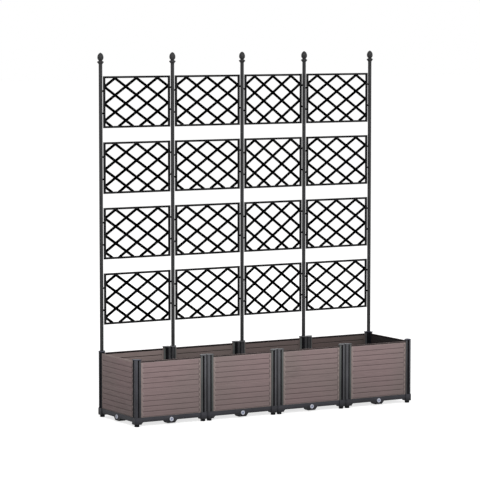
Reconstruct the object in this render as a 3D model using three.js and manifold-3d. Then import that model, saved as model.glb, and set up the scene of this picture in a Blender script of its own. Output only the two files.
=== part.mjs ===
// Planter with trellis: square plastic modules joined in a row into one open trough, with plank
// pattern side panels held between corner posts, base trays on feet with a water reservoir and
// drain plugs, and at the back a trellis of lattice panels pegged between posts with acorn finials.
// Millimetres, +Z up. The origin is on the floor under the middle of the row, and the front is -Y.

import * as THREE from "three";
import { mergeVertices } from "three/addons/utils/BufferGeometryUtils.js";
import Module from "manifold-3d";

// ---------- Driving dimensions ----------

// The row
const MODULES = 4; // square modules side by side
const MODULE = 400; // side of one module, and the depth of the planter
const SEAM = 0.3; // gap between pieces that meet face to face
const FIT = 0.3; // clearance round a piece that slides into another
const ROUND_SIDES = 8; // facets of a round piece, with flats facing along X and Y
const ARC_STEPS = 2; // half the facets of a rounded corner

// Base trays
const FOOT_R = 12;
const FOOT_H = 12;
const RAIL_CLEAR = 22; // from the floor to the underside of the side rails
const RAIL_H = 23;
const RAIL_T = 18.5;
const RAIL_PROUD = 1; // how far a rail stands out past the planks above it
const BOOT_CHAMFER = 7; // outer corner of the block under a corner post
const BOOT_SLOPE = 10; // run of the slope from a corner block up to the rail
const TRAY_FLOOR_T = 3;

// Drain bosses and plugs
const BOSS_TOP_W = 66;
const BOSS_BOTTOM_W = 40;
const BOSS_DROP = 15; // below the rail
const BOSS_REACH = 40; // inward, where a boss holds a drain
const SUMP_W = 26;
const SUMP_WALL = 3;
const DRAIN_WALL = 8; // wall that the drain hole goes through
const DRAIN_RISE = 4; // of the hole's axis above the underside of the rail
const PLUG_HEAD_R = 11.5;
const PLUG_HEAD_T = 4;
const PLUG_SHANK_R = 7.7;
const PLUG_DISH_R = 4.5;
const PLUG_DISH_DEPTH = 1.2;

// Corner posts
const COLUMN_W = 13.5; // side of the rounded column at the outer corner
const COLUMN_ROUND = 7;
const COLUMN_SET_IN = 3; // from the module's face
const GROOVE_W = 8; // between the column and a channel
const CORE_W = 17; // square core behind the column, round the bore for a trellis post
const CORE_INSET = 16.5; // from the module's face to the core's axis
const CHANNEL_L = 11; // along the wall
const CHANNEL_SET_IN = 5; // from the module's face
const CHANNEL_DEPTH = 6; // of the slot that takes a panel's edge
const CHANNEL_WALL = 2.2;
const CHANNEL_RISE = 6; // above the top of the panels
const CAP_T = 4;
const CAP_LIP = 1;
const CAP_CHAMFER = 6;
const SPIGOT_W = 13; // square foot of a corner post, in the base tray's socket
const SPIGOT_L = 14;

// Side panels
const PANEL_T = 5;
const PANEL_SEAT = 4; // depth of a panel's lower edge in the rail
const PLANK_RELIEF = 2;
const PLANK_PITCH = 25.4;
const PLANK_GAP = 3;
const FIELD_PLANKS = 5; // planks above and planks below the middle band
const MIDDLE_BAND = 10;
const TOP_BAND = 7.5;
const BOTTOM_BAND = 1.5; // above the rail
const END_BAND = 8;

// Lift-out divider over the reservoir
const DIVIDER_T = 3;
const DIVIDER_CLEAR = 1; // to the channels
const DIVIDER_NOTCH_CLEAR = 2; // to the caps
const SLOT_W = 10;
const SLOT_L = 300;
const SLOT_PITCH = 95;
const SLOTS = 3;

// Trellis posts
const POST_R = 9;
const TENON_R = 6; // lower end, in the bore of a corner post
const TENON_L = 100;
const POST_ABOVE_LATTICE = 62; // from the top lattice to the finial
const COLLAR_R = 16;
const COLLAR_T = 5;
const FINIAL_NECK_R = 9.5;
const FINIAL_NECK_H = 6;
const ACORN_R = 15.5;
const ACORN_H = 40;

// Lattice panels
const LATTICE_ROWS = 4;
const LATTICE_H = 254;
const LATTICE_T = 6;
const LATTICE_START = 129; // from the caps to the lowest lattice
const LATTICE_ROW_GAP = 69;
const LATTICE_POST_GAP = 5;
const FRAME_SIDE_W = 10;
const FRAME_RAIL_W = 7.5;
const STRIP_W = 8.5;
const DIAMONDS = 3; // across and up
const PATTERN_PAST_SIDE = 5; // the diamonds hang from the top right corner of the frame's window
const PATTERN_PAST_RAIL = 13; // and run on this far behind its left side and its bottom rail
const PEG_T = 3.4;
const PEG_H = 4;
const PEG_DEPTH = 5; // into a post
const PEG_LEVELS = [0.285, 0.715]; // shares of the lattice's height
const PEG_STAGGER = 14; // right-hand pegs sit higher, so that two fit one post

// ---------- Heights and planes that follow ----------

const HALF = MODULE / 2;
const CHANNEL_START = COLUMN_SET_IN + COLUMN_W + GROOVE_W; // these are from the module's face
const WING_REACH = CHANNEL_START + CHANNEL_L;
const CHANNEL_HALF_T = PANEL_T / 2 + FIT + CHANNEL_WALL;
const WALL_INSET = CHANNEL_SET_IN + CHANNEL_HALF_T; // middle plane of a wall's panels and channels
const PANEL_EDGE = WING_REACH - CHANNEL_DEPTH + FIT;
const RAIL_FACE = WALL_INSET - PANEL_T / 2 - PLANK_RELIEF - RAIL_PROUD;
const RAIL_INSIDE = RAIL_FACE + RAIL_T;
const RAIL_TOP = RAIL_CLEAR + RAIL_H;
const DRAIN_Z = RAIL_CLEAR + DRAIN_RISE;
const FIELD_H = FIELD_PLANKS * PLANK_PITCH;
const PANEL_TOP = RAIL_TOP + BOTTOM_BAND + 2 * FIELD_H + MIDDLE_BAND + TOP_BAND;
const CAP_BOTTOM = PANEL_TOP + CHANNEL_RISE;
const CAP_TOP = CAP_BOTTOM + CAP_T;
const CAP_REACH = WING_REACH + CAP_LIP; // from the module's face
const TRELLIS_Y = HALF - CORE_INSET;
const FINIAL_BASE =
  CAP_TOP + LATTICE_START + LATTICE_ROWS * LATTICE_H + (LATTICE_ROWS - 1) * LATTICE_ROW_GAP +
  POST_ABOVE_LATTICE;

// ---------- Materials ----------

const plastic = (name, color, roughness) =>
  Object.assign(new THREE.MeshStandardMaterial({ color, roughness, metalness: 0 }), { name });
const trayPlastic = plastic("tray_plastic", 0x3c3c40, 0.55);
const postPlastic = plastic("post_plastic", 0x4a4a4d, 0.5);
const panelPlastic = plastic("panel_plastic", 0x80706e, 0.7);
const latticePlastic = plastic("lattice_plastic", 0x2b2b2c, 0.6);
const plugPlastic = plastic("plug_plastic", 0xa9acb8, 0.45);

// ---------- Shapes ----------

const wasm = await Module();
wasm.setup();

// A closed geometry as a solid that can be joined and cut.
function solidOf(geometry) {
  const bare = geometry.clone();
  bare.deleteAttribute("normal");
  bare.deleteAttribute("uv");
  const welded = mergeVertices(bare, 1e-4);
  const corners = welded.index.array;
  const triVerts = [];
  for (let i = 0; i < corners.length; i += 3) {
    const [a, b, c] = corners.slice(i, i + 3);
    const isFlat = a === b || b === c || c === a;
    if (!isFlat) triVerts.push(a, b, c);
  }
  const vertProperties = new Float32Array(welded.attributes.position.array);
  const mesh = { numProp: 3, vertProperties, triVerts: new Uint32Array(triVerts) };
  return new wasm.Manifold(new wasm.Mesh(mesh));
}

function geometryOf(solid) {
  const mesh = solid.getMesh();
  const geometry = new THREE.BufferGeometry();
  geometry.setAttribute("position", new THREE.BufferAttribute(mesh.vertProperties, 3));
  geometry.setIndex(new THREE.BufferAttribute(mesh.triVerts, 1));
  return geometry;
}

function join(pieces) {
  return geometryOf(pieces.map(solidOf).reduce((all, piece) => all.add(piece)));
}

function cut(body, tools) {
  return geometryOf(tools.map(solidOf).reduce((rest, tool) => rest.subtract(tool), solidOf(body)));
}

// What of the joined pieces lies inside a body.
function clip(pieces, body) {
  return geometryOf(solidOf(join(pieces)).intersect(solidOf(body)));
}

function block([x0, x1], [y0, y1], [z0, z1]) {
  const box = new THREE.BoxGeometry(x1 - x0, y1 - y0, z1 - z0);
  return box.translate((x0 + x1) / 2, (y0 + y1) / 2, (z0 + z1) / 2);
}

function outline(points) {
  return new THREE.Shape(points.map(([x, y]) => new THREE.Vector2(x, y)));
}

// An outline drawn in plan, between two heights.
function slab(shape, [z0, z1]) {
  const options = { depth: z1 - z0, bevelEnabled: false, curveSegments: ARC_STEPS };
  return new THREE.ExtrudeGeometry(shape, options).translate(0, 0, z0);
}

// An outline drawn as seen from the front, between two depths.
function upright(shape, [y0, y1]) {
  const options = { depth: y1 - y0, bevelEnabled: false };
  return new THREE.ExtrudeGeometry(shape, options).rotateX(Math.PI / 2).translate(0, y1, 0);
}

// A profile of [radius, height] turned about Z, listed from the bottom to the top.
function turned(profile) {
  const points = profile.map(([r, z]) => new THREE.Vector2(r, z));
  const lathe = new THREE.LatheGeometry(points, ROUND_SIDES, Math.PI / ROUND_SIDES);
  return lathe.rotateX(Math.PI / 2);
}

function rod(radius, [z0, z1]) {
  return turned([[0, z0], [radius, z0], [radius, z1], [0, z1]]);
}

// Side 0 of a module is its front, and the count goes anticlockwise seen from above.
function onSide(side, geometry) {
  return geometry.clone().rotateZ((side * Math.PI) / 2);
}

const SIDES = [0, 1, 2, 3];

// ---------- Base tray ----------

// Block under the corner post, in plan, at the front left corner.
function bootOutline() {
  const out = -HALF + SEAM / 2;
  const inner = -HALF + WING_REACH;
  return outline([
    [out + BOOT_CHAMFER, out],
    [inner, out],
    [inner, inner],
    [out, inner],
    [out, out + BOOT_CHAMFER],
  ]);
}

// Slopes from the corner blocks up to the front rail.
function bootSlopes() {
  const boot = HALF - WING_REACH;
  return [-1, 1].map((hand) => {
    const points = [[boot, FOOT_H], [boot, RAIL_CLEAR], [boot - BOOT_SLOPE, RAIL_CLEAR]];
    const placed = points.map(([x, z]) => [hand * x, z]);
    const slope = outline(hand > 0 ? placed : placed.reverse());
    return upright(slope, [-HALF + RAIL_FACE, -HALF + RAIL_INSIDE]);
  });
}

// Boss hanging below the front rail, from the rail's face inward.
function boss(reach) {
  const shape = outline([
    [-BOSS_TOP_W / 2, RAIL_CLEAR],
    [-BOSS_BOTTOM_W / 2, RAIL_CLEAR - BOSS_DROP],
    [BOSS_BOTTOM_W / 2, RAIL_CLEAR - BOSS_DROP],
    [BOSS_TOP_W / 2, RAIL_CLEAR],
  ]);
  return upright(shape, [-HALF + RAIL_FACE, -HALF + reach]);
}

function drainSump() {
  const across = [-SUMP_W / 2, SUMP_W / 2];
  const inward = [-HALF + RAIL_FACE + DRAIN_WALL, -HALF + BOSS_REACH - SUMP_WALL];
  return block(across, inward, [RAIL_CLEAR - BOSS_DROP + SUMP_WALL, DRAIN_Z + PLUG_SHANK_R + 2 * FIT]);
}

function drainHole() {
  const hole = rod(PLUG_SHANK_R + FIT, [-RAIL_T, RAIL_T]).rotateX(Math.PI / 2);
  return hole.translate(0, -HALF + RAIL_FACE, DRAIN_Z);
}

function baseTray(drainSides) {
  const outer = [-HALF + RAIL_FACE, HALF - RAIL_FACE];
  const inner = [-HALF + RAIL_INSIDE, HALF - RAIL_INSIDE];
  const tray = block(outer, outer, [RAIL_CLEAR, RAIL_TOP]);
  const basin = block(inner, inner, [RAIL_CLEAR + TRAY_FLOOR_T, RAIL_TOP + SEAM]);
  const boot = slab(bootOutline(), [FOOT_H, RAIL_TOP]);
  const footAxis = -HALF + WING_REACH / 2;
  const foot = rod(FOOT_R, [0, FOOT_H]).translate(footAxis, footAxis, 0);

  const core = -HALF + CORE_INSET;
  const socketSpan = [core - SPIGOT_W / 2 - FIT, core + SPIGOT_W / 2 + FIT];
  const socket = block(socketSpan, socketSpan, [RAIL_TOP - SPIGOT_L - SEAM, RAIL_TOP + SEAM]);
  const wall = -HALF + WALL_INSET;
  const grooveHalf = PANEL_T / 2 + FIT;
  const groove = block(
    [-HALF + PANEL_EDGE - FIT, HALF - PANEL_EDGE + FIT],
    [wall - grooveHalf, wall + grooveHalf],
    [RAIL_TOP - PANEL_SEAT - SEAM, RAIL_TOP + SEAM],
  );

  const added = SIDES.flatMap((side) => {
    const hanging = boss(drainSides.includes(side) ? BOSS_REACH : RAIL_INSIDE);
    return [boot, foot, hanging, ...bootSlopes()].map((piece) => onSide(side, piece));
  });
  const removed = SIDES.flatMap((side) => {
    const drain = drainSides.includes(side) ? [drainSump(), drainHole()] : [];
    return [socket, groove, ...drain].map((piece) => onSide(side, piece));
  });
  return cut(join([cut(tray, [basin]), ...added]), removed);
}

// Round plug with a dished head, pushed into the drain hole from outside.
function drainPlug() {
  const top = SEAM + PLUG_HEAD_T;
  const plug = turned([
    [0, -DRAIN_WALL],
    [PLUG_SHANK_R, -DRAIN_WALL],
    [PLUG_SHANK_R, SEAM],
    [PLUG_HEAD_R, SEAM],
    [PLUG_HEAD_R, top - PLUG_DISH_DEPTH],
    [PLUG_HEAD_R - PLUG_DISH_DEPTH, top],
    [PLUG_DISH_R + PLUG_DISH_DEPTH, top],
    [PLUG_DISH_R, top - PLUG_DISH_DEPTH],
    [0, top - PLUG_DISH_DEPTH],
  ]);
  return plug.rotateX(Math.PI / 2).translate(0, -HALF + RAIL_FACE, DRAIN_Z);
}

// ---------- Corner post ----------

// Plan outlines of the post are drawn from the module's front left corner.

// Column, rounded at the outer corner.
function columnOutline() {
  const near = COLUMN_SET_IN;
  const far = COLUMN_SET_IN + COLUMN_W;
  const middle = near + COLUMN_ROUND;
  const shape = new THREE.Shape();
  shape.moveTo(far, near);
  shape.lineTo(far, far);
  shape.lineTo(near, far);
  shape.lineTo(near, middle);
  shape.absarc(middle, middle, COLUMN_ROUND, Math.PI, 1.5 * Math.PI, false);
  return shape;
}

// Cap, cut back at the outer corner and straight across between its two wings.
function capOutline() {
  const out = COLUMN_SET_IN - CAP_LIP;
  const side = WALL_INSET + CHANNEL_HALF_T + CAP_LIP;
  return outline([
    [out + CAP_CHAMFER, out],
    [CAP_REACH, out],
    [CAP_REACH, side],
    [side, CAP_REACH],
    [out, CAP_REACH],
    [out, out + CAP_CHAMFER],
  ]);
}

// Slotted channel along the front or the left wall, which takes the edge of a panel.
function channel(isFront, height) {
  const piece = (along, across, z) => (isFront ? block(along, across, z) : block(across, along, z));
  const body = piece([CHANNEL_START, WING_REACH], [CHANNEL_SET_IN, WALL_INSET + CHANNEL_HALF_T], height);
  const slotHalf = PANEL_T / 2 + FIT;
  const slot = piece(
    [WING_REACH - CHANNEL_DEPTH, WING_REACH + FIT],
    [WALL_INSET - slotHalf, WALL_INSET + slotHalf],
    [0, CAP_BOTTOM],
  );
  return cut(body, [slot]);
}

// Post for the front left corner of a module, bored where it carries a trellis post.
function cornerPost(isBored) {
  const height = [RAIL_TOP + SEAM, CAP_BOTTOM + CAP_T / 2];
  const column = slab(columnOutline(), height);
  const coreSpan = [CORE_INSET - CORE_W / 2, CORE_INSET + CORE_W / 2];
  const core = block(coreSpan, coreSpan, height);
  const spigotSpan = [CORE_INSET - SPIGOT_W / 2, CORE_INSET + SPIGOT_W / 2];
  const spigot = block(spigotSpan, spigotSpan, [RAIL_TOP - SPIGOT_L, RAIL_TOP + 2 * SEAM]);
  const cap = slab(capOutline(), [CAP_BOTTOM, CAP_TOP]);
  const post = join([column, core, spigot, channel(true, height), channel(false, height), cap]);
  const bore = rod(TENON_R + FIT, [CAP_TOP - TENON_L - SEAM, CAP_TOP + SEAM]);
  const made = isBored ? cut(post, [bore.translate(CORE_INSET, CORE_INSET, 0)]) : post;
  return made.translate(-HALF, -HALF, 0);
}

// ---------- Side panel ----------

// Plank as seen from the front.
function plankOutline(z0, z1) {
  const end = HALF - WING_REACH - END_BAND;
  return outline([[-end, z0], [end, z0], [end, z1], [-end, z1]]);
}

function sidePanel() {
  const plane = -HALF + WALL_INSET;
  const across = [-HALF + PANEL_EDGE, HALF - PANEL_EDGE];
  const sheet = block(across, [plane - PANEL_T / 2, plane + PANEL_T / 2], [RAIL_TOP - PANEL_SEAT, PANEL_TOP]);
  const relief = [plane - PANEL_T / 2 - PLANK_RELIEF, plane];
  const fields = [RAIL_TOP + BOTTOM_BAND, RAIL_TOP + BOTTOM_BAND + FIELD_H + MIDDLE_BAND];
  const planks = fields.flatMap((start) =>
    Array.from({ length: FIELD_PLANKS }, (_, i) => {
      const z = start + i * PLANK_PITCH;
      return upright(plankOutline(z + PLANK_GAP / 2, z + PLANK_PITCH - PLANK_GAP / 2), relief);
    }),
  );
  return join([sheet, ...planks]);
}

// ---------- Divider ----------

function divider() {
  const edge = HALF - WALL_INSET - CHANNEL_HALF_T - DIVIDER_CLEAR;
  const notch = HALF - CAP_REACH - DIVIDER_NOTCH_CLEAR;
  const height = [RAIL_TOP + SEAM, RAIL_TOP + SEAM + DIVIDER_T];
  const plate = join([
    block([-edge, edge], [-notch, notch], height),
    block([-notch, notch], [-edge, edge], height),
  ]);
  const slots = Array.from({ length: SLOTS }, (_, i) => {
    const y = (i - (SLOTS - 1) / 2) * SLOT_PITCH;
    return block(
      [-SLOT_L / 2, SLOT_L / 2],
      [y - SLOT_W / 2, y + SLOT_W / 2],
      [RAIL_TOP, RAIL_TOP + 2 * DIVIDER_T],
    );
  });
  return cut(plate, slots);
}

// ---------- Trellis ----------

const moduleX = (i) => (i - (MODULES - 1) / 2) * MODULE;

// Posts stand in the left back corner of every module but the last, and in the right back corner
// of the last two.
const trellisCorners = [
  ...Array.from({ length: MODULES - 1 }, (_, i) => ({ module: i, side: 3 })),
  { module: MODULES - 2, side: 2 },
  { module: MODULES - 1, side: 2 },
];
const cornerX = ({ module, side }) => moduleX(module) + (side === 3 ? -1 : 1) * TRELLIS_Y;
const postX = trellisCorners.map(cornerX);
const rowZ = (row) => CAP_TOP + LATTICE_START + row * (LATTICE_H + LATTICE_ROW_GAP);

// Heights of the pegs on the left or the right edge of the lattice in a row.
function pegHeights(row, isRight) {
  return PEG_LEVELS.map((level) => rowZ(row) + level * LATTICE_H + (isRight ? PEG_STAGGER : 0));
}

// Post with a turned collar and an acorn finial, and a blind hole for each peg.
function trellisPost(i) {
  const neckBase = FINIAL_BASE + COLLAR_T + COLLAR_T / 2;
  const acornBase = neckBase + FINIAL_NECK_H;
  const acorn = [[0.8, 0], [1, 0.25], [0.92, 0.52], [0.5, 0.82]];
  const post = turned([
    [0, CAP_TOP - TENON_L],
    [TENON_R, CAP_TOP - TENON_L],
    [TENON_R, CAP_TOP + SEAM],
    [POST_R, CAP_TOP + SEAM],
    [POST_R, FINIAL_BASE],
    [COLLAR_R, FINIAL_BASE + COLLAR_T / 2],
    [COLLAR_R, FINIAL_BASE + COLLAR_T],
    [FINIAL_NECK_R, neckBase],
    ...acorn.map(([r, z]) => [ACORN_R * r, acornBase + ACORN_H * z]),
    [0, acornBase + ACORN_H],
  ]);
  const flat = POST_R * Math.cos(Math.PI / ROUND_SIDES);
  const halfY = PEG_T / 2 + FIT;
  const halfZ = PEG_H / 2 + FIT;
  const holes = [];
  for (let row = 0; row < LATTICE_ROWS; row++) {
    for (const hand of [-1, 1]) {
      const hasLattice = hand < 0 ? i > 0 : i < postX.length - 1;
      const heights = hasLattice ? pegHeights(row, hand < 0) : [];
      const inward = [hand * (flat - PEG_DEPTH - FIT), hand * (POST_R + FIT)].sort((a, b) => a - b);
      heights.forEach((z) => holes.push(block(inward, [-halfY, halfY], [z - halfZ, z + halfZ])));
    }
  }
  return cut(post, holes);
}

// Diamond openings between crossing strips, clipped by the frame's window.
function latticeOpenings([x0, x1], [z0, z1], depth) {
  const w = (x1 - x0 + PATTERN_PAST_SIDE) / DIAMONDS;
  const h = (z1 - z0 + PATTERN_PAST_RAIL) / DIAMONDS;
  const reach = 0.5 - (STRIP_W / 2) * Math.hypot(1 / w, 1 / h); // share of a diamond left open
  const openings = [];
  for (let column = 0; column <= 2 * DIAMONDS; column++) {
    for (let row = column % 2; row <= 2 * DIAMONDS; row += 2) {
      const [u, v] = [column / 2, row / 2];
      const tips = [[u - reach, v], [u, v - reach], [u + reach, v], [u, v + reach]];
      const diamond = outline(tips.map(([right, down]) => [x1 - right * w, z1 - down * h]));
      openings.push(upright(diamond, depth));
    }
  }
  return clip(openings, block([x0, x1], depth, [z0, z1]));
}

function latticePanel(row, bay) {
  const flat = POST_R * Math.cos(Math.PI / ROUND_SIDES);
  const width = postX[bay + 1] - postX[bay] - 2 * (POST_R + LATTICE_POST_GAP);
  const z0 = rowZ(row);
  const depth = [-LATTICE_T / 2, LATTICE_T / 2];
  const board = block([-width / 2, width / 2], depth, [z0, z0 + LATTICE_H]);
  const halfWindow = width / 2 - FRAME_SIDE_W;
  const windowZ = [z0 + FRAME_RAIL_W, z0 + LATTICE_H - FRAME_RAIL_W];
  const openings = latticeOpenings([-halfWindow, halfWindow], windowZ, [-LATTICE_T, LATTICE_T]);
  const pegEnd = width / 2 + POST_R + LATTICE_POST_GAP - flat + PEG_DEPTH;
  const pegs = [-1, 1].flatMap((hand) =>
    pegHeights(row, hand > 0).map((z) => {
      const along = [hand * (width / 2 - FRAME_SIDE_W / 2), hand * pegEnd].sort((a, b) => a - b);
      return block(along, [-PEG_T / 2, PEG_T / 2], [z - PEG_H / 2, z + PEG_H / 2]);
    }),
  );
  const lattice = cut(join([board, ...pegs]), [openings]);
  return lattice.translate((postX[bay] + postX[bay + 1]) / 2, 0, 0);
}

// ---------- Assembly ----------

const planter = new THREE.Group();

function place(parent, name, geometry, material) {
  const shown = geometry.index ? geometry.toNonIndexed() : geometry;
  shown.computeVertexNormals();
  const mesh = new THREE.Mesh(shown, material);
  mesh.name = name;
  parent.add(mesh);
  return mesh;
}

const CORNER_NAMES = ["front_left", "front_right", "back_right", "back_left"];

for (let i = 0; i < MODULES; i++) {
  const module = new THREE.Group();
  module.position.x = moduleX(i);
  planter.add(module);
  const number = i + 1;
  const isFirst = i === 0;
  const isLast = i === MODULES - 1;

  const drainSides = isFirst ? [0, 3] : [0];
  place(module, `base_tray_${number}`, baseTray(drainSides), trayPlastic);
  place(module, `divider_${number}`, divider(), trayPlastic);
  for (const side of drainSides) {
    const name = side === 0 ? `drain_plug_front_${number}` : "drain_plug_left_end";
    place(module, name, onSide(side, drainPlug()), plugPlastic);
  }
  for (const side of SIDES) {
    const isTrellisCorner = trellisCorners.some((corner) => corner.module === i && corner.side === side);
    const post = onSide(side, cornerPost(isTrellisCorner));
    place(module, `corner_post_${number}_${CORNER_NAMES[side]}`, post, postPlastic);
  }
  const walls = { [`side_panel_front_${number}`]: 0, [`side_panel_back_${number}`]: 2 };
  if (isLast) walls.side_panel_right_end = 1;
  if (isFirst) walls.side_panel_left_end = 3;
  for (const [name, side] of Object.entries(walls)) {
    place(module, name, onSide(side, sidePanel()), panelPlastic);
  }
}

const trellis = new THREE.Group();
trellis.position.y = TRELLIS_Y;
planter.add(trellis);
postX.forEach((x, i) => {
  place(trellis, `trellis_post_${i + 1}`, trellisPost(i), postPlastic).position.x = x;
});
for (let row = 0; row < LATTICE_ROWS; row++) {
  for (let bay = 0; bay < postX.length - 1; bay++) {
    place(trellis, `lattice_row${row + 1}_bay${bay + 1}`, latticePanel(row, bay), latticePlastic);
  }
}

export default planter;
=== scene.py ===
"""Looks of the planter with trellis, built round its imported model.

Metres, +Z up. The row of modules lies along X, and its front faces -Y.
"""

import math

import bmesh
import bpy
from mathutils import Matrix, Vector


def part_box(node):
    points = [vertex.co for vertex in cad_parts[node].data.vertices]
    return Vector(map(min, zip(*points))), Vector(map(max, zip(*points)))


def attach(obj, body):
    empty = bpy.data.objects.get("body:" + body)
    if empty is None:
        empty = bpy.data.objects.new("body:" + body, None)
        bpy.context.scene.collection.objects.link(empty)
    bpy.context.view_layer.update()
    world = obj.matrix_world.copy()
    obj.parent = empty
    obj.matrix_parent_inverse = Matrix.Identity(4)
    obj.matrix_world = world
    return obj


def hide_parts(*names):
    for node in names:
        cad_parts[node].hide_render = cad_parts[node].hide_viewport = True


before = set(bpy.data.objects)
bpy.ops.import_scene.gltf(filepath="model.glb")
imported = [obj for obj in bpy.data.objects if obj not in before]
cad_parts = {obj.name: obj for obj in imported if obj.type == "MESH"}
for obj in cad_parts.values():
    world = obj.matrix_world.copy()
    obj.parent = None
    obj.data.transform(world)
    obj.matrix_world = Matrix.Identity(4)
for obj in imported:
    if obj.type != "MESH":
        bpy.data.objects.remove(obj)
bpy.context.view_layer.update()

MM = 0.001
SMALL = 0.01 * MM  # nearer than this, two places are one
BODY = "planter"

# ---------- Sizes ----------

# Side panels
PLANK_RELIEF = 2 * MM
INSIDE_RELIEF = 1 * MM
PLANK_PITCH = 25.4 * MM
PLANK_GAP = 3 * MM
PLANK_ROUND = 9 * MM  # corners of a plank
PLANK_STEPS = 6
SHEET_EDGE = 0.6 * MM  # rounding of the sheet that carries the planks
FIELD_PLANKS = 5
PANEL_SEAT = 4 * MM  # lower edge hidden in the rail
BOTTOM_BAND = 1.5 * MM
MIDDLE_BAND = 10 * MM
PLANK_MARGIN = 10.9 * MM  # from a panel's side edge to the planks
PLANK_END = 7 * MM  # length of a plank's rounded end
PLANK_EDGE = [  # inset at the ends, inset above and below, share of the relief
    (0.0, 0.0, -0.15),
    (0.0, 0.0, 0.3),
    (1.5 * MM, 0.5 * MM, 0.62),
    (4.0 * MM, 1.2 * MM, 0.88),
    (PLANK_END, 2.4 * MM, 1.0),
]
LINE_PROUD = 0.15 * MM  # of the dark lines of painted shade between and round the planks
LINE_PAST = 1 * MM  # how far they go above and below a field of planks
LINE_SHORT = 4 * MM  # how far they stop before the planks' ends
RIM_H = 9 * MM  # dark rim along the inner top edge
OUTER_RIM_H = 5.5 * MM
RIM_BELOW_TOP = 0.5 * MM

# Corner posts, from the module's corner
COLUMN_SET_IN = 3 * MM
COLUMN_W = 13.5 * MM
COLUMN_ROUND = 7 * MM
COLUMN_STEPS = 10
GROOVE_W = 8 * MM  # between the column and a channel
CORE_W = 17 * MM  # square bar behind the column and the grooves
CORE_INSET = 16.5 * MM
CHANNEL_L = 11 * MM
CHANNEL_SET_IN = 5 * MM
CHANNEL_T = 10 * MM
CHANNEL_WALL = 2.2 * MM
CHANNEL_DEPTH = 6 * MM
CAP_T = 4 * MM
CAP_LIP = 1 * MM
CAP_CHAMFER = 6 * MM
CORNER_POST_EDGE = 0.8 * MM

# Base trays, dividers and drain plugs
FOOT_H = 12 * MM
TRAY_EDGE = 0.9 * MM
DIVIDER_EDGE = 0.5 * MM
PLUG_SHANK_R = 7.7 * MM
PLUG_DISH_R = 5.2 * MM
PLUG_HEAD_T = 4 * MM

# Trellis
POST_R = 9 * MM
POST_CHAMFER = 1 * MM  # at the post's foot
ACORN_R = 15.5 * MM
ACORN_H = 38 * MM
ACORN = [  # shares of its radius and height
    (0.58, 0.0), (0.74, 0.06), (0.91, 0.17), (0.98, 0.27), (1.0, 0.36), (0.99, 0.46), (0.95, 0.56),
    (0.85, 0.68), (0.75, 0.76), (0.61, 0.84), (0.4, 0.915), (0.2, 0.97), (0.04, 1.0),
]
COLLAR = [  # radius and height below the acorn
    (9.0 * MM, -20 * MM), (9.4 * MM, -17.5 * MM), (11.4 * MM, -16 * MM), (12.4 * MM, -14 * MM),
    (12.4 * MM, -12.6 * MM), (14.6 * MM, -11.8 * MM), (15.8 * MM, -10.6 * MM), (16.0 * MM, -8.6 * MM),
    (15.8 * MM, -6.4 * MM), (14.6 * MM, -4.8 * MM), (12.0 * MM, -3.8 * MM), (10.0 * MM, -2.8 * MM),
    (9.0 * MM, -1.4 * MM),
]
FLUTES = 12
FLUTE_SHARE = 0.05
ACORN_STEPS = 96
FRAME_SIDE_W = 11.5 * MM
FRAME_RAIL_W = 10 * MM
LATTICE_T = 6 * MM
STRIP_W = 13 * MM
STRIP_T = 4.4 * MM
STRIP_LAYER = 0.4 * MM  # one set of strips lies this much in front of the other
DIAMONDS = 3
PATTERN_PAST_SIDE = 5 * MM  # the pattern of diamonds is this much wider than the window
PATTERN_PAST_RAIL = 16 * MM  # and this much higher
STRIP_OVERRUN = 0.04  # of a diamond, into the frame
LATTICE_EDGE = 0.7 * MM
PEG_R = 2.1 * MM
PEG_STEPS = 20
SHOULDER_R = 4.4 * MM
SHOULDER_GAP = 0.4 * MM  # to the post
POST_GAP = 5 * MM  # between a post and a lattice frame
PEG_LEVELS = [0.285, 0.715]  # shares of the lattice's height
PEG_STAGGER = 14 * MM  # the right-hand pegs sit this much higher
PEG_DEPTH = 5 * MM  # in the post

ROUND_STEPS = 48
SAME_FACE = 1  # degrees, under which the CAD mesh's neighbours are one face
SHARP = 40  # degrees, from which an edge is sharp
SHARP_ON_PLUG = 50
SHARP_ON_POST = 60
FACING = 0.5  # least share of a face's normal along the direction that it faces


# ---------- Places taken from the frame ----------


def centre(node):
    lo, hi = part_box(node)
    return (lo + hi) / 2


def count_of(start):
    """Number of nodes whose names start so."""
    return sum(node.startswith(start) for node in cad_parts)


MODULES = count_of("base_tray_")
LATTICE_ROWS = count_of("lattice_") // (count_of("trellis_post_") - 1)
MODULE_X = [centre(f"side_panel_front_{i + 1}").x for i in range(MODULES)]
HALF = (MODULE_X[1] - MODULE_X[0]) / 2
POST_X = [centre(f"trellis_post_{i + 1}").x for i in range(count_of("trellis_post_"))]
TRELLIS_Y = centre("trellis_post_1").y
SIDE_OF_CORNER = {"front_left": 0, "front_right": 1, "back_right": 2, "back_left": 3}
SIDE_OF_WALL = {"front": 0, "right_end": 1, "back": 2, "left_end": 3}


# ---------- Materials ----------

WHITE = (1.0, 1.0, 1.0, 1.0)
PIECE_SHIFT = (5.0, 3.0, 7.0)  # metres, the most that one piece's grain is moved along
USUAL_NOISE = (0.3, 0.7)  # range in which most of a noise lies
BASE_STOPS = (0.35, 0.65)

# Moulded plastic
EVEN = (1, 1, 1)
CLOUD_SCALE = 9.0
SPECKLE_SCALE = 900.0
FLOW_STRETCH = (30, 30, 4)
FLOW_STOPS = [(0.3, (0.82, 0.82, 0.83, 1)), (0.7, WHITE)]
FLOW_SHARE = 0.35
SPECKLE_BUMP = (0.2 * MM, 0.25)  # distance and strength
CLOUD_BUMP = (1.5 * MM, 0.15)
SMOOTHER = 0.06
ROUGHER = 0.08

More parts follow.
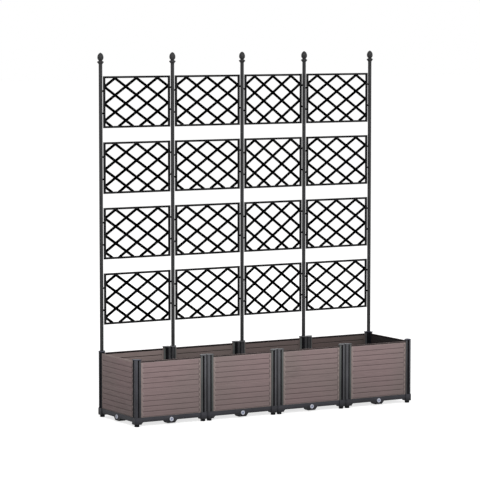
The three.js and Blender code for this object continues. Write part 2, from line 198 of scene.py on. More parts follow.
# Wood grain, along X on a panel's face
TINT_STRETCH = (4, 1, 3)
STREAK_STRETCH = (12, 40, 140)
STREAK_STOPS = [(0.32, (0.74, 0.73, 0.73, 1)), (0.5, WHITE), (0.68, (1.0, 0.99, 0.98, 1))]
FIBRE_STRETCH = (16, 200, 620)
FIBRE_STOPS = [(0.32, (0.72, 0.71, 0.71, 1)), (0.5, WHITE)]
FIBRE_BUMP = (0.3 * MM, 0.4)
STREAK_BUMP = (0.4 * MM, 0.3)
WOOD_ROUGHNESS = (0.72, 0.6)

# Heights between which painted shade darkens a colour towards the floor
WALL_HEIGHTS = (40 * MM, 300 * MM)
RAIL_HEIGHTS = (14 * MM, 36 * MM)
WALL_LOWEST = 0.72

SOFT_GLOSS = 0.15  # specular level


def srgb(red, green, blue):
    """Linear colour of an 8-bit one."""

    def linear(value):
        share = value / 255
        return share / 12.92 if share <= 0.04045 else ((share + 0.055) / 1.055) ** 2.4

    return (linear(red), linear(green), linear(blue), 1.0)


class Tree:
    """Short way to build a node tree."""

    def __init__(self, owner):
        owner.use_nodes = True
        self.tree = owner.node_tree
        self.tree.nodes.clear()

    def add(self, kind, settings=None, **inputs):
        node = self.tree.nodes.new(kind)
        for key, value in (settings or {}).items():
            setattr(node, key, value)
        for key, value in inputs.items():
            self.put(node.inputs[key.replace("_", " ")], value)
        return node

    def put(self, socket, value):
        if isinstance(value, bpy.types.NodeSocket):
            self.tree.links.new(value, socket)
        else:
            socket.default_value = value

    def noise(self, coordinates, stretch, scale, detail, distortion=0.0):
        place = self.add("ShaderNodeMapping", Vector=coordinates, Scale=stretch).outputs["Vector"]
        node = self.add("ShaderNodeTexNoise", Vector=place, Scale=scale, Detail=detail)
        node.inputs["Distortion"].default_value = distortion
        return node.outputs["Fac"]

    def ramp(self, value, stops):
        node = self.add("ShaderNodeValToRGB", Fac=value)
        elements = node.color_ramp.elements
        elements[0].position, elements[0].color = stops[0]
        elements[1].position, elements[1].color = stops[-1]
        for position, color in stops[1:-1]:
            elements.new(position).color = color
        return node.outputs["Color"]

    def span(self, value, low, high, source=USUAL_NOISE):
        """Value stretched from the source's range to low..high."""
        node = self.add("ShaderNodeMapRange", Value=value, To_Min=low, To_Max=high)
        node.inputs["From Min"].default_value = source[0]
        node.inputs["From Max"].default_value = source[1]
        return node.outputs["Result"]

    def multiply(self, share, first, second):
        settings = {"blend_type": "MULTIPLY"}
        node = self.add("ShaderNodeMixRGB", settings, Fac=share, Color1=first, Color2=second)
        return node.outputs["Color"]


def own_coordinates(tree):
    """Coordinates of the piece itself, moved along for each piece, so that no two have one grain."""
    place = tree.add("ShaderNodeTexCoord").outputs["Object"]
    number = tree.add("ShaderNodeObjectInfo").outputs["Random"]
    moved = tree.add("ShaderNodeVectorMath", {"operation": "MULTIPLY_ADD"})
    tree.put(moved.inputs[0], number)
    moved.inputs[1].default_value = PIECE_SHIFT
    tree.put(moved.inputs[2], place)
    return moved.outputs["Vector"]


def height_shade(tree, color, lowest, heights):
    """Painted shade: colour that is full at the upper height and darkens to a lowest share at the lower
    one.
    """
    place = tree.add("ShaderNodeTexCoord").outputs["Object"]
    height = tree.add("ShaderNodeSeparateXYZ", Vector=place).outputs["Z"]
    shade = tree.span(height, lowest, 1.0, source=heights)
    grey = tree.add("ShaderNodeCombineColor", Red=shade, Green=shade, Blue=shade).outputs["Color"]
    return tree.multiply(1.0, color, grey)


def surface(tree, color, roughness, bumps, specular):
    """Plastic shader with bumps given as (height, distance in metres, strength)."""
    normal = None
    for height, distance, strength in bumps:
        bump = tree.add("ShaderNodeBump", Height=height)
        bump.inputs["Strength"].default_value = strength
        bump.inputs["Distance"].default_value = distance
        if normal is not None:
            tree.put(bump.inputs["Normal"], normal)
        normal = bump.outputs["Normal"]
    shader = tree.add("ShaderNodeBsdfPrincipled", Base_Color=color, Roughness=roughness, Normal=normal)
    shader.inputs["Specular IOR Level"].default_value = specular
    output = tree.add("ShaderNodeOutputMaterial")
    tree.put(output.inputs["Surface"], shader.outputs["BSDF"])


def base_color(tree, noise, first, second):
    """Colour that wanders between two 8-bit ones with a noise."""
    return tree.ramp(noise, list(zip(BASE_STOPS, (srgb(*first), srgb(*second)))))


def moulded(name, dark, light, roughness, specular=SOFT_GLOSS, lowest=1.0, heights=WALL_HEIGHTS):
    """Moulded plastic: faint clouding, fine speckled texture and slightly uneven gloss."""
    material = bpy.data.materials.new(name)
    tree = Tree(material)
    place = own_coordinates(tree)
    cloud = tree.noise(place, EVEN, CLOUD_SCALE, detail=5.0)
    flow = tree.noise(place, FLOW_STRETCH, 1.0, detail=3.0, distortion=0.4)
    speckle = tree.noise(place, EVEN, SPECKLE_SCALE, detail=2.0)
    base = base_color(tree, cloud, dark, light)
    streaked = tree.multiply(FLOW_SHARE, base, tree.ramp(flow, FLOW_STOPS))
    # painted shade, darker towards the floor
    streaked = height_shade(tree, streaked, lowest, heights)
    gloss = tree.span(cloud, roughness - SMOOTHER, roughness + ROUGHER)
    surface(tree, streaked, gloss, [(speckle, *SPECKLE_BUMP), (cloud, *CLOUD_BUMP)], specular)
    return material


def wood_grain(name, grey, pink, depth=0.4):
    """Grey-brown plastic moulded with a fine wood grain that runs along the plank."""
    material = bpy.data.materials.new(name)
    tree = Tree(material)
    place = own_coordinates(tree)
    tint = tree.noise(place, TINT_STRETCH, 1.0, detail=1.0)
    streak = tree.noise(place, STREAK_STRETCH, 1.0, detail=6.0, distortion=0.5)
    fibre = tree.noise(place, FIBRE_STRETCH, 1.0, detail=4.0, distortion=0.3)
    color = base_color(tree, tint, grey, pink)
    color = tree.multiply(depth, color, tree.ramp(streak, STREAK_STOPS))
    color = tree.multiply(depth, color, tree.ramp(fibre, FIBRE_STOPS))
    # painted shade, darker towards the floor
    color = height_shade(tree, color, WALL_LOWEST, WALL_HEIGHTS)
    gloss = tree.span(streak, *WOOD_ROUGHNESS)
    surface(tree, color, gloss, [(fibre, *FIBRE_BUMP), (streak, *STREAK_BUMP)], SOFT_GLOSS)
    return material


# tray, columns and channels get painted shade, darker towards the floor
TRAY = moulded("tray_plastic", (50, 50, 54), (62, 62, 67), 0.55, lowest=0.3, heights=RAIL_HEIGHTS)
# dark plastic of the feet, also used as painted shade on the trays' downward faces
FOOT_AND_UNDERSIDE_SHADE = moulded("foot_and_underside_shade_plastic", (22, 22, 24), (30, 30, 33), 0.65, 0.1)
COLUMN = moulded("column_plastic", (66, 66, 71), (80, 80, 86), 0.5, lowest=0.5)
CHANNEL = moulded("channel_plastic", (66, 66, 68), (80, 80, 83), 0.5, lowest=0.5)
# painted light: paler copies of the column and channel plastic, for the posts at the joints
LIT_JOINT_COLUMN = moulded("joint_column_lit_plastic", (82, 82, 85), (96, 96, 100), 0.5, lowest=0.5)
LIT_JOINT_CHANNEL = moulded("joint_channel_lit_plastic", (84, 86, 85), (99, 101, 100), 0.5, lowest=0.5)
# painted shade: the end wall's channel at the row's end posts is near black
SHADED_END_CHANNEL = moulded("end_channel_shade_plastic", (24, 25, 29), (34, 35, 39), 0.65, 0.05)
# painted shade: near black in the grooves and on the core behind them
GROOVE_SHADE = moulded("groove_shade_plastic", (18, 18, 21), (27, 27, 30), 0.7, 0.05)
# painted highlight: the caps at the joints are paler than the end caps
LIT_JOINT_CAP = moulded("joint_cap_highlight_plastic", (82, 82, 85), (98, 98, 101), 0.45)
END_CAP = moulded("end_cap_plastic", (56, 57, 68), (70, 71, 82), 0.45)
POLE = moulded("pole_plastic", (44, 44, 45), (54, 54, 55), 0.45, 0.15)
GRID_FRAME = moulded("lattice_frame_plastic", (20, 20, 21), (30, 30, 31), 0.6, 0.05)
GRID_STRIP = moulded("lattice_strip_plastic", (2, 2, 2), (6, 6, 6), 0.8, 0.0)
PLUG_RING = moulded("plug_ring_plastic", (176, 179, 190), (192, 195, 206), 0.4, 0.3)
PLUG_DISH = moulded("plug_dish_plastic", (118, 125, 148), (136, 143, 166), 0.45, 0.3)
DIVIDER = moulded("divider_plastic", (50, 50, 53), (64, 64, 68), 0.6)

PANEL = wood_grain("panel_plank", (134, 120, 118), (142, 123, 123))
# painted light: the sheet round the planks is paler than the planks
LIT_MARGIN = wood_grain("panel_margin_lit", (148, 135, 131), (154, 138, 135), 0.15)
# painted shade in the gaps between and round the planks
SEAM_SHADE = wood_grain("panel_seam_shade", (108, 96, 94), (114, 98, 98), 0.15)
SHADED_END = wood_grain("plank_shaded_end", (108, 97, 95), (114, 100, 99), 0.15)
LIT_END = wood_grain("plank_lit_end", (142, 130, 127), (148, 133, 131), 0.15)
# painted shade in the gaps between the inner planks
INSIDE_SEAM_SHADE = wood_grain("panel_inside_seam_shade", (40, 35, 34), (46, 39, 39), 0.15)
RIM = moulded("panel_rim", (30, 27, 28), (38, 33, 34), 0.7, 0.05)
SIDE_LOOK = {
    "plank": PANEL, "margin": LIT_MARGIN, "line": SEAM_SHADE, "shaded_end": SHADED_END, "lit_end": LIT_END,
    "inside_line": INSIDE_SEAM_SHADE, "rim": RIM, "outer_rim": RIM,
}
INSIDE_TONES = {  # 8-bit; the deeper in the row, the less light an inner face gets
    "back_1": (126, 116, 112), "back_2": (108, 97, 94), "back_3": (98, 89, 86), "back_4": (84, 76, 73),
    "right_end": (42, 40, 40),
}
COMMON_TONE = (108, 98, 95)
INSIDE_TINT = (5, 1, 2)


# ---------- Mesh helpers ----------


def box(bm, lo, hi):
    """Box between two corners."""
    size = Vector(hi) - Vector(lo)
    place = Matrix.Translation((Vector(lo) + Vector(hi)) / 2) @ Matrix.Diagonal((*size, 1))
    bmesh.ops.create_cube(bm, size=1, matrix=place)


def skin(bm, rings):
    """Faces between rings of equally many vertices, with a face on each end."""
    for lower, upper in zip(rings, rings[1:]):
        count = len(lower)
        for i in range(count):
            j = (i + 1) % count
            bm.faces.new((lower[i], lower[j], upper[j], upper[i]))
    bm.faces.new(list(reversed(rings[0])))
    bm.faces.new(rings[-1])


def prism(bm, outline, z0, z1):
    """Outline in plan, stood up between two heights."""
    skin(bm, [[bm.verts.new((x, y, z)) for x, y in outline] for z in (z0, z1)])


def painted(bm, index, build, *details):
    """Runs a step that adds faces, and gives them a material by its number."""
    before = set(bm.faces)
    build(bm, *details)
    added = set(bm.faces) - before
    for face in added:
        face.material_index = index
    return added


def arc(x, y, radius, start, end, steps):
    """Points on an arc, in degrees."""
    angles = [math.radians(start + (end - start) * i / steps) for i in range(steps + 1)]
    return [(x + radius * math.cos(a), y + radius * math.sin(a)) for a in angles]


def rounded_rectangle(x0, x1, y0, y1, radius, steps):
    corners = [(x1 - radius, y0 + radius, -90), (x1 - radius, y1 - radius, 0),
               (x0 + radius, y1 - radius, 90), (x0 + radius, y0 + radius, 180)]
    return [point for x, y, start in corners for point in arc(x, y, radius, start, start + 90, steps)]


def lathe(bm, profile, steps=ROUND_STEPS, flutes=lambda height: 0.0, material_of=lambda radius: 0):
    """Profile of (radius, height) turned about Z, with a flat face at both ends."""
    rings = []
    for radius, height in profile:
        ring = []
        for i in range(steps):
            angle = 2 * math.pi * i / steps
            r = radius * (1 - flutes(height) * (0.5 + 0.5 * math.cos(FLUTES * angle)))
            ring.append(bm.verts.new((r * math.cos(angle), r * math.sin(angle), height)))
        rings.append(ring)
    for (low, high), (lower, upper) in zip(zip(profile, profile[1:]), zip(rings, rings[1:])):
        for i in range(steps):
            j = (i + 1) % steps
            face = bm.faces.new((lower[i], lower[j], upper[j], upper[i]))
            face.material_index = material_of((low[0] + high[0]) / 2)
    bm.faces.new(list(reversed(rings[0])))
    bm.faces.new(rings[-1]).material_index = material_of(0)


def finish_piece(name, bm, materials, node, bevel=0.0, sharp=SHARP, body=BODY, place=None):
    """Mesh as an object that stands for its CAD node and rides on its body."""
    bmesh.ops.recalc_face_normals(bm, faces=bm.faces)
    mesh = bpy.data.meshes.new(name)
    bm.to_mesh(mesh)
    bm.free()
    for material in materials:
        mesh.materials.append(material)
    mesh.polygons.foreach_set("use_smooth", [True] * len(mesh.polygons))
    obj = bpy.data.objects.new(name, mesh)
    bpy.context.scene.collection.objects.link(obj)
    if bevel:
        modifier = obj.modifiers.new("edges", "BEVEL")
        modifier.width = bevel
        modifier.segments = 2
        modifier.limit_method = "ANGLE"
        modifier.angle_limit = math.radians(sharp)
    else:
        mesh.set_sharp_from_angle(angle=math.radians(sharp))
    weighted = obj.modifiers.new("normals", "WEIGHTED_NORMAL")
    weighted.keep_sharp = True
    if place is not None:
        obj.matrix_world = place
    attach(obj, body)
    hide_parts(node)


def on_side(module, side):
    """Place of a piece drawn at the front of a module, turned to another side."""
    return Matrix.Translation((MODULE_X[module], 0, 0)) @ Matrix.Rotation(side * math.pi / 2, 4, "Z")


def copy_of(node):
    """CAD node's mesh, with its flat faces whole again."""
    bm = bmesh.new()
    bm.from_mesh(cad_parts[node].data)
    bmesh.ops.remove_doubles(bm, verts=bm.verts, dist=SMALL)
    bmesh.ops.dissolve_limit(bm, angle_limit=math.radians(SAME_FACE), verts=bm.verts, edges=bm.edges)
    bm.normal_update()
    return bm


# ---------- Side panels ----------


def plank_rows(bottom):
    """Lowest and highest point of each plank."""
    field = FIELD_PLANKS * PLANK_PITCH
    starts = [bottom + BOTTOM_BAND, bottom + BOTTOM_BAND + field + MIDDLE_BAND]
    lows = [start + i * PLANK_PITCH for start in starts for i in range(FIELD_PLANKS)]
    return [(z + PLANK_GAP / 2, z + PLANK_PITCH - PLANK_GAP / 2) for z in lows]


def plank(bm, half, z0, z1, base, face):
    """Raised board with rounded corners, long rounded ends and a soft edge."""
    rings = []
    for end_inset, side_inset, share in PLANK_EDGE:
        radius = min(PLANK_ROUND, (z1 - z0) / 2 - side_inset)
        x = half - end_inset
        outline = rounded_rectangle(-x, x, z0 + side_inset, z1 - side_inset, radius, PLANK_STEPS)
        y = base + (face - base) * share
        rings.append([bm.verts.new((x, y, z)) for x, z in outline])
    skin(bm, rings)


def side_panel(look):
    """Panel as a sheet with planks on both faces; look gives a material for each part of it."""
    lo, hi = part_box("side_panel_front_1")
    half = (hi.x - lo.x) / 2
    front = lo.y + PLANK_RELIEF
    back = hi.y - INSIDE_RELIEF
    reach = half - PLANK_MARGIN
    number = {part: i for i, part in enumerate(look)}
    bm = bmesh.new()
    # the sheet in the paler margin plastic, which is painted light; its inner faces in the inner tone
    painted(bm, number["margin"], box, (-half, front, lo.z), (half, back, hi.z))
    bmesh.ops.bevel(bm, geom=bm.edges[:], offset=SHEET_EDGE, segments=2, affect="EDGES", profile=0.5)
    bm.normal_update()
    for face in bm.faces:
        if face.normal.y > FACING:
            face.material_index = number["inside"]

    rows = plank_rows(lo.z + PANEL_SEAT)
    for field in (rows[:FIELD_PLANKS], rows[FIELD_PLANKS:]):
        z0 = field[0][0] - LINE_PAST
        z1 = field[-1][1] + LINE_PAST
        x = reach - LINE_SHORT
        # dark plates of painted shade behind each field, seen between and round the planks
        painted(bm, number["line"], box, (-x, front - LINE_PROUD, z0), (x, front + LINE_PROUD, z1))
        painted(bm, number["inside_line"], box, (-x, back - LINE_PROUD, z0), (x, back + LINE_PROUD, z1))
    z0 = rows[FIELD_PLANKS - 1][1] + LINE_PAST
    z1 = rows[FIELD_PLANKS][0] - LINE_PAST
    painted(bm, number["plank"], box, (-reach, front - LINE_PROUD, z0), (reach, front + LINE_PROUD, z1))
    for z0, z1 in rows:
        for face in painted(bm, number["plank"], plank, reach, z0, z1, front, lo.y):
            x = face.calc_center_median().x
            if abs(x) > reach - PLANK_END:
                face.material_index = number["shaded_end" if x > 0 else "lit_end"]
        painted(bm, number["inside"], plank, reach, z0, z1, back, hi.y)
    top = hi.z - RIM_BELOW_TOP
    painted(bm, number["rim"], box, (-reach, back - LINE_PROUD, hi.z - RIM_H), (reach, hi.y, top))
    painted(bm, number["outer_rim"], box, (-half, front - LINE_PROUD, hi.z - OUTER_RIM_H),
            (half, front + LINE_PROUD, top))
    return bm


def make_side_panels():
    walls = [(f"{wall}_{i + 1}", i, wall) for wall in ("front", "back") for i in range(MODULES)]
    walls += [("left_end", 0, "left_end"), ("right_end", MODULES - 1, "right_end")]
    for name, module, wall in walls:
        node = f"side_panel_{name}"
        grey = INSIDE_TONES.get(name, COMMON_TONE)
        pink = [value + more for value, more in zip(grey, INSIDE_TINT)]
        look = {**SIDE_LOOK, "inside": wood_grain(f"{node}_inside", grey, pink)}
        if wall == "left_end":
            look["outer_rim"] = LIT_MARGIN
        finish_piece(f"{node}_boards", side_panel(look), list(look.values()), node,
                     place=on_side(module, SIDE_OF_WALL[wall]))


# ---------- Corner posts ----------


# painted shade in the end wall's channel of the end posts
END_PLASTICS = (COLUMN, CHANNEL, SHADED_END_CHANNEL, END_CAP)
# painted light at the joints: paler column, channel and cap
JOINT_PLASTICS = (LIT_JOINT_COLUMN, LIT_JOINT_CHANNEL, CHANNEL, LIT_JOINT_CAP)


def column_outline():
    near = COLUMN_SET_IN
    far = COLUMN_SET_IN + COLUMN_W
    middle = near + COLUMN_ROUND
    round_corner = arc(middle, middle, COLUMN_ROUND, 180, 270, COLUMN_STEPS)
    return [(far, near), (far, far), (near, far), *round_corner]


def channel_outline(is_front):
    """Channel for the front panel of a module's corner, or for the panel round the corner."""
    start = COLUMN_SET_IN + COLUMN_W + GROOVE_W
    end = start + CHANNEL_L
    out = CHANNEL_SET_IN
    into = out + CHANNEL_T
    slot = end - CHANNEL_DEPTH
    points = [(start, out), (end, out), (end, out + CHANNEL_WALL), (slot, out + CHANNEL_WALL),
              (slot, into - CHANNEL_WALL), (end, into - CHANNEL_WALL), (end, into), (start, into)]
    return points if is_front else [(y, x) for x, y in points]


def cap_outline():
    out = COLUMN_SET_IN - CAP_LIP
    reach = COLUMN_SET_IN + COLUMN_W + GROOVE_W + CHANNEL_L + CAP_LIP
    side = CHANNEL_SET_IN + CHANNEL_T + CAP_LIP
    return [(out + CAP_CHAMFER, out), (reach, out), (reach, side), (side, reach), (out, reach),
            (out, out + CAP_CHAMFER)]


def corner_post(side, column, channel, end_channel, cap):
    """Post at one corner; on the sides that face an end, the end wall's channel lies along X."""
    lo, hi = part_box("corner_post_1_front_left")
    rail_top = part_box("base_tray_1")[1].z
    cap_bottom = hi.z - CAP_T
    faces_end = side % 2 == 1
    materials = [column, channel, end_channel, GROOVE_SHADE, cap]
    bm = bmesh.new()

    def member(outline, z0, z1, material):
        index = materials.index(material)
        return painted(bm, index, prism, [(x - HALF, y - HALF) for x, y in outline], z0, z1)

    inner = COLUMN_SET_IN + COLUMN_W
    near, far = CORE_INSET - CORE_W / 2, CORE_INSET + CORE_W / 2
    walls = member(column_outline(), rail_top, cap_bottom, column)
    walls |= member(channel_outline(not faces_end), rail_top, cap_bottom, channel)
    walls |= member(channel_outline(faces_end), rail_top, cap_bottom, end_channel)
    # painted shade on the faces that line the grooves
    for face in walls:
        middle = face.calc_center_median()
        depth = [middle.x + HALF, middle.y + HALF]
        if any(abs(d - inner) < SMALL or abs(d - inner - GROOVE_W) < SMALL for d in depth):
            face.material_index = materials.index(GROOVE_SHADE)
    # core behind the grooves, near black as painted shade
    member([(near, near), (far, near), (far, far), (near, far)], rail_top, cap_bottom, GROOVE_SHADE)
    member(cap_outline(), cap_bottom, hi.z, cap)
    return bm, materials


def make_corner_posts():
    for module in range(MODULES):
        for corner, side in SIDE_OF_CORNER.items():
            node = f"corner_post_{module + 1}_{corner}"
            is_end = module == (0 if corner.endswith("left") else MODULES - 1)
            bm, materials = corner_post(side, *(END_PLASTICS if is_end else JOINT_PLASTICS))
            finish_piece(f"{node}_moulding", bm, materials, node,
                         bevel=CORNER_POST_EDGE, place=on_side(module, side))


# ---------- Base trays, dividers and plugs ----------


def make_trays_and_dividers():
    for i in range(MODULES):
        node = f"base_tray_{i + 1}"
        bm = copy_of(node)
        for face in bm.faces:
            is_foot = face.calc_center_median().z < FOOT_H
            # dark plastic on the feet, and painted shade on the faces that look down
            face.material_index = 1 if is_foot or face.normal.z < -FACING else 0
        finish_piece(f"{node}_moulding", bm, [TRAY, FOOT_AND_UNDERSIDE_SHADE], node, bevel=TRAY_EDGE)
        node = f"divider_{i + 1}"
        finish_piece(f"{node}_plate", copy_of(node), [DIVIDER], node,
                     bevel=DIVIDER_EDGE, body=node)


def drain_plug(length, head_r):
    """Plug along Z: a chamfered shank, a head with a rounded ring, and a dish with a knob in it."""
    shank_r = PLUG_SHANK_R
    dish_r = PLUG_DISH_R
    top = length
    under = length - PLUG_HEAD_T
    bm = bmesh.new()
    lathe(bm, [
        (shank_r - 1 * MM, 0), (shank_r, 1 * MM), (shank_r, under), (head_r - 0.5 * MM, under),
        (head_r, under + 0.6 * MM), (head_r, top - 1.4 * MM), (head_r - 0.5 * MM, top - 0.5 * MM),
        (head_r - 1.5 * MM, top), (dish_r + 0.9 * MM, top), (dish_r + 0.3 * MM, top - 0.3 * MM),
        (dish_r, top - 1.1 * MM), (1.8 * MM, top - 1.1 * MM), (1.4 * MM, top - 0.7 * MM),
        (0.7 * MM, top - 0.5 * MM),
    ], material_of=lambda radius: 1 if radius < dish_r + 0.1 * MM else 0)
    return bm


def make_plugs():
    quarter = math.pi / 2
    outward = Matrix.Rotation(quarter, 4, "X")
    for node in [f"drain_plug_front_{i + 1}" for i in range(MODULES)] + ["drain_plug_left_end"]:
        lo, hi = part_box(node)
        middle = (lo + hi) / 2
        if "front" in node:
            length, inner_end, turn = hi.y - lo.y, (middle.x, hi.y, middle.z), outward
        else:
            length, inner_end = hi.x - lo.x, (hi.x, middle.y, middle.z)
            turn = Matrix.Rotation(-quarter, 4, "Z") @ outward
        finish_piece(f"{node}_button", drain_plug(length, (hi.z - lo.z) / 2), [PLUG_RING, PLUG_DISH],
                     node, sharp=SHARP_ON_PLUG, body=node,
                     place=Matrix.Translation(inner_end) @ turn)


# ---------- Trellis ----------


def trellis_post():
    lo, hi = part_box("trellis_post_1")
    cap_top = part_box("corner_post_1_back_left")[1].z
    acorn_base = hi.z - ACORN_H
    profile = [(POST_R - POST_CHAMFER, cap_top), (POST_R, cap_top + POST_CHAMFER)]
    profile += [(radius, acorn_base + height) for radius, height in COLLAR]
    profile += [(ACORN_R * radius, acorn_base + ACORN_H * height) for radius, height in ACORN]

    def flutes(height):
        share = (height - acorn_base) / ACORN_H
        return FLUTE_SHARE * math.sin(math.pi * share) if 0 < share < 1 else 0.0

    bm = bmesh.new()
    lathe(bm, profile, steps=ACORN_STEPS, flutes=flutes)
    return bm


def strip_ends(width, height, is_falling, offset):
    """Ends of a strip's middle line in a window, in diamonds from the window's top right corner."""
    reach = STRIP_OVERRUN
    points = []
    for u in (-reach, width + reach):
        v = offset - u if is_falling else u - offset
        if -reach <= v <= height + reach:
            points.append((u, v))
    for v in (-reach, height + reach):
        u = offset - v if is_falling else v + offset
        if -reach < u < width + reach:
            points.append((u, v))
    return points


def bar(bm, start, end, width, thickness, y):
    """Flat bar between two points of the lattice's plane."""
    along = Vector((end[0] - start[0], 0, end[1] - start[1]))
    middle = Vector(((start[0] + end[0]) / 2, y, (start[1] + end[1]) / 2))
    size = Matrix.Diagonal((along.length, thickness, width, 1))
    forward = along.normalized()
    back = Vector((0, 1, 0))
    turn = Matrix((forward, back, forward.cross(back))).transposed().to_4x4()
    bmesh.ops.create_cube(bm, size=1, matrix=Matrix.Translation(middle) @ turn @ size)


def peg(bm, start, end, z, radius):
    """Round peg along X."""
    place = Matrix.Translation(((start + end) / 2, TRELLIS_Y, z)) @ Matrix.Rotation(math.pi / 2, 4, "Y")
    bmesh.ops.create_cone(bm, cap_ends=True, segments=PEG_STEPS, radius1=radius, radius2=radius,
                          depth=abs(end - start), matrix=place)


def rectangle(x0, x1, z0, z1):
    return [(x0, z0), (x1, z0), (x1, z1), (x0, z1)]


def lattice_frame(bm, outer, inner):
    """Flat frame between two rectangles."""
    (outer_front, inner_front), (outer_back, inner_back) = [
        [[bm.verts.new((x, y, z)) for x, z in outline] for outline in (outer, inner)]
        for y in (TRELLIS_Y - LATTICE_T / 2, TRELLIS_Y + LATTICE_T / 2)
    ]
    for i in range(4):
        j = (i + 1) % 4
        bm.faces.new((outer_front[i], outer_front[j], inner_front[j], inner_front[i]))
        bm.faces.new((outer_back[i], inner_back[i], inner_back[j], outer_back[j]))
        bm.faces.new((outer_front[i], outer_back[i], outer_back[j], outer_front[j]))
        bm.faces.new((inner_front[i], inner_front[j], inner_back[j], inner_back[i]))


def lattice_strips(bm, x0, x1, z0, z1):
    """Two sets of strips that cross in a window, one set a little in front of the other."""
    w = (x1 - x0 + PATTERN_PAST_SIDE) / DIAMONDS
    h = (z1 - z0 + PATTERN_PAST_RAIL) / DIAMONDS
    for is_falling in (False, True):
        y = TRELLIS_Y + (STRIP_LAYER / 2 if is_falling else -STRIP_LAYER / 2)
        for k in range(-DIAMONDS, 2 * DIAMONDS):
            ends = strip_ends((x1 - x0) / w, (z1 - z0) / h, is_falling, k + 0.5)
            if len(ends) == 2:
                start, end = [(x1 - u * w, z1 - v * h) for u, v in ends]
                bar(bm, start, end, STRIP_W, STRIP_T, y)


def lattice_pegs(bm, x0, x1, z0, z1):
    """Pegs that end in the posts' holes, each with a shoulder up to the post."""
    for hand, edge, lift in ((-1, x0, 0), (1, x1, PEG_STAGGER)):
        start = edge - hand * FRAME_SIDE_W / 2
        for level in PEG_LEVELS:
            z = z0 + level * (z1 - z0) + lift
            peg(bm, start, edge + hand * (POST_GAP + PEG_DEPTH), z, PEG_R)
            peg(bm, start, edge + hand * (POST_GAP - SHOULDER_GAP), z, SHOULDER_R)


def lattice(node, bay):
    lo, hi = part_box(node)
    whole = (POST_X[bay] + POST_R + POST_GAP, POST_X[bay + 1] - POST_R - POST_GAP, lo.z, hi.z)
    x0, x1, z0, z1 = whole
    window = (x0 + FRAME_SIDE_W, x1 - FRAME_SIDE_W, z0 + FRAME_RAIL_W, z1 - FRAME_RAIL_W)
    bm = bmesh.new()
    painted(bm, 0, lattice_frame, rectangle(*whole), rectangle(*window))
    painted(bm, 1, lattice_strips, *window)
    painted(bm, 1, lattice_pegs, *whole)
    return bm


def make_trellis():
    for i, x in enumerate(POST_X):
        node = f"trellis_post_{i + 1}"
        finish_piece(f"{node}_turning", trellis_post(), [POLE], node,
                     sharp=SHARP_ON_POST, place=Matrix.Translation((x, TRELLIS_Y, 0)))
    for row in range(LATTICE_ROWS):
        for bay in range(len(POST_X) - 1):
            node = f"lattice_row{row + 1}_bay{bay + 1}"
            finish_piece(f"{node}_grid", lattice(node, bay), [GRID_FRAME, GRID_STRIP],
                         node, bevel=LATTICE_EDGE)


# ---------- Stage, light and camera ----------

FLOOR_REACH = 60.0
FLOOR_GREY = (0.3, 0.3, 0.3, 1.0)  # what lights the object from below
SEEN_FLOOR_GREY = (0.5, 0.5, 0.5, 1.0)  # what carries the shadow
FLOOR_GLOW = 0.75  # makes the seen floor white
AMBIENT = 0.55
BACKDROP = 1.0
LAMP_TARGET = (0, 0, 0.8)
LAMPS = [  # name, place, width, power
    ("key", (-3.0, -6.5, 5.0), 4.0, 420),
    ("fill", (6.0, -4.0, 3.5), 4.0, 130),
    ("back", (2.0, 7.0, 5.0), 5.0, 110),
]
LENS = 190.7
SENSOR_W = 36
CLIP_END = 200
EYE = (-6.442, -10.924, 1.966)
EYE_ELEVATION = 5.0  # degrees
EYE_AZIMUTH = -30.13


def seen_share(tree):
    """1 where the camera sees a surface straight, in a gloss or through glass, else 0."""
    path = tree.add("ShaderNodeLightPath")
    total = path.outputs["Is Camera Ray"]
    for name in ("Is Glossy Ray", "Is Transmission Ray"):
        add = tree.add("ShaderNodeMath", {"operation": "MAXIMUM"})
        tree.put(add.inputs[0], total)
        tree.put(add.inputs[1], path.outputs[name])
        total = add.outputs[0]
    return total


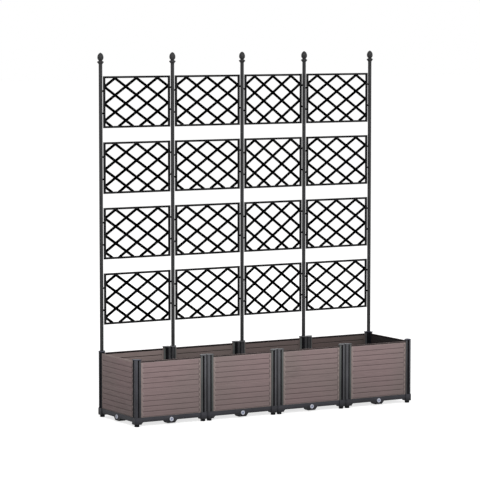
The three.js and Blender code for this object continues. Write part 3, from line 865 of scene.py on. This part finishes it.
def make_floor():
    bm = bmesh.new()
    bmesh.ops.create_grid(bm, x_segments=1, y_segments=1, size=FLOOR_REACH)
    mesh = bpy.data.meshes.new("floor")
    bm.to_mesh(mesh)
    bm.free()
    material = bpy.data.materials.new("floor_white")
    tree = Tree(material)
    plain = tree.add("ShaderNodeBsdfDiffuse", Color=FLOOR_GREY)
    lit = tree.add("ShaderNodeBsdfDiffuse", Color=SEEN_FLOOR_GREY)
    glow = tree.add("ShaderNodeEmission", Color=WHITE, Strength=FLOOR_GLOW)
    both = tree.add("ShaderNodeAddShader")
    tree.put(both.inputs[0], lit.outputs[0])
    tree.put(both.inputs[1], glow.outputs[0])
    mix = tree.add("ShaderNodeMixShader")
    tree.put(mix.inputs[0], seen_share(tree))
    tree.put(mix.inputs[1], plain.outputs[0])
    tree.put(mix.inputs[2], both.outputs[0])
    output = tree.add("ShaderNodeOutputMaterial")
    tree.put(output.inputs["Surface"], mix.outputs[0])
    mesh.materials.append(material)
    floor = bpy.data.objects.new("floor", mesh)
    bpy.context.scene.collection.objects.link(floor)


def make_world():
    world = bpy.data.worlds.new("studio")
    bpy.context.scene.world = world
    tree = Tree(world)
    ambient = tree.add("ShaderNodeBackground", Color=WHITE, Strength=AMBIENT)
    backdrop = tree.add("ShaderNodeBackground", Color=WHITE, Strength=BACKDROP)
    mix = tree.add("ShaderNodeMixShader")
    tree.put(mix.inputs[0], seen_share(tree))
    tree.put(mix.inputs[1], ambient.outputs[0])
    tree.put(mix.inputs[2], backdrop.outputs[0])
    output = tree.add("ShaderNodeOutputWorld")
    tree.put(output.inputs["Surface"], mix.outputs[0])


def make_lamps():
    for name, place, width, power in LAMPS:
        light = bpy.data.lights.new(name, "AREA")
        light.shape = "DISK"
        light.size = width
        light.energy = power
        lamp = bpy.data.objects.new(name, light)
        lamp.location = place
        lamp.rotation_euler = (Vector(LAMP_TARGET) - Vector(place)).to_track_quat("-Z", "Y").to_euler()
        bpy.context.scene.collection.objects.link(lamp)


def make_camera():
    camera = bpy.data.cameras.new("camera")
    camera.lens = LENS
    camera.sensor_width = SENSOR_W
    camera.clip_end = CLIP_END
    eye = bpy.data.objects.new("camera", camera)
    eye.location = EYE
    eye.rotation_euler = (math.radians(90 - EYE_ELEVATION), 0, math.radians(EYE_AZIMUTH))
    bpy.context.scene.collection.objects.link(eye)
    bpy.context.scene.camera = eye


make_side_panels()
make_corner_posts()
make_trays_and_dividers()
make_plugs()
make_trellis()
make_floor()
make_world()
make_lamps()
make_camera()
bpy.context.scene.view_settings.view_transform = "Standard"
